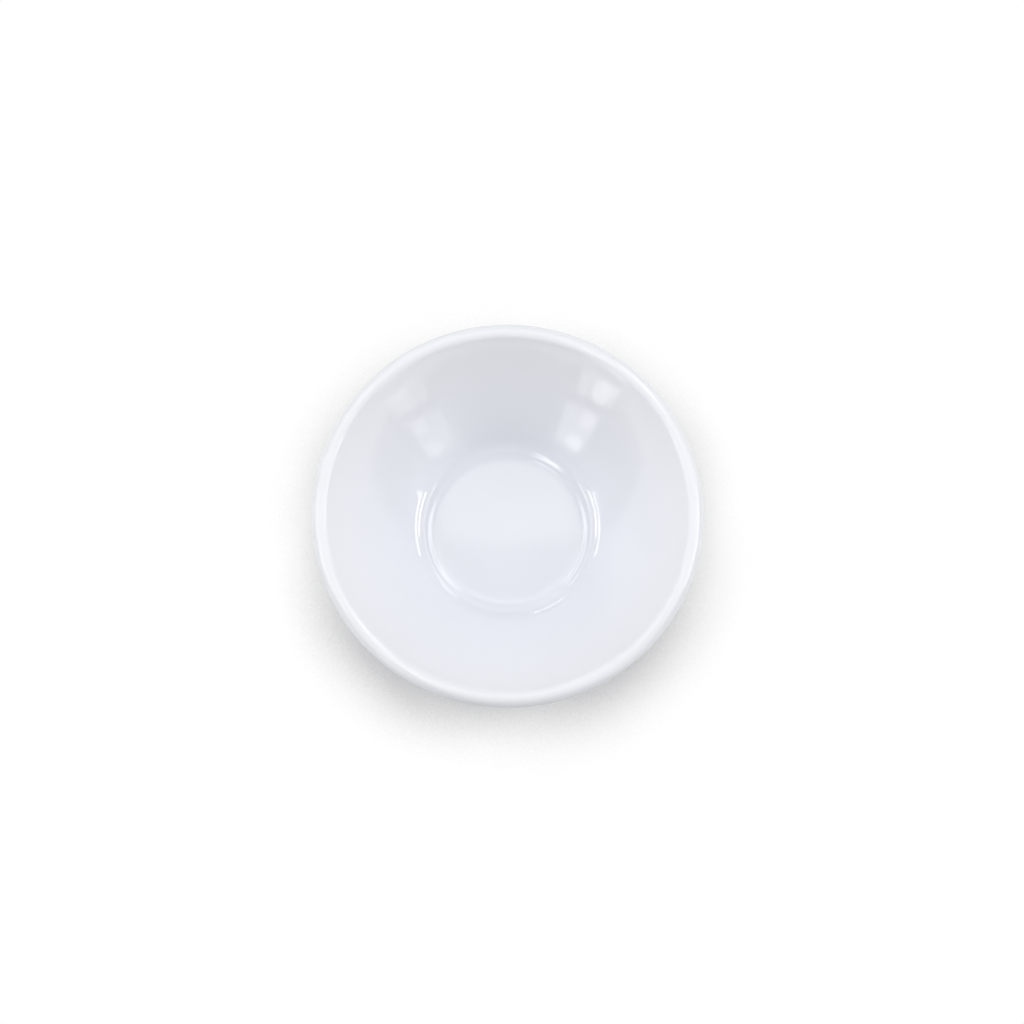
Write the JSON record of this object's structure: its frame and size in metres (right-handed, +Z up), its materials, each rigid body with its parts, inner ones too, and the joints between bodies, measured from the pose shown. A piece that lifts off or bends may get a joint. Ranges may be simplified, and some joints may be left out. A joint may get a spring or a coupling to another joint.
{
  "type": "ramekin",
  "caption": "Round flared ramekin with a full round lip, a curved wall, a flat inside floor and a low foot ring, in white glazed porcelain.",
  "frame": {"origin": "centre of the foot ring, on the surface that the ramekin stands on", "axes": "+Z up along the ramekin's axis; X and Y are free because the ramekin is round"},
  "size_m": [0.086, 0.086, 0.0258],
  "materials": {
    "bare_porcelain": "unglazed, ground smooth on the foot ring",
    "white_glaze": "glossy white glaze with a faint cool cast",
    "base_glaze": "glossy white glaze, a little thinner than on the wall"
  },
  "bodies": {
    "root": {"porcelain_body": "bare_porcelain", "glaze_coat": "white_glaze", "underside_glaze": "base_glaze"}
  },
  "joints": []
}
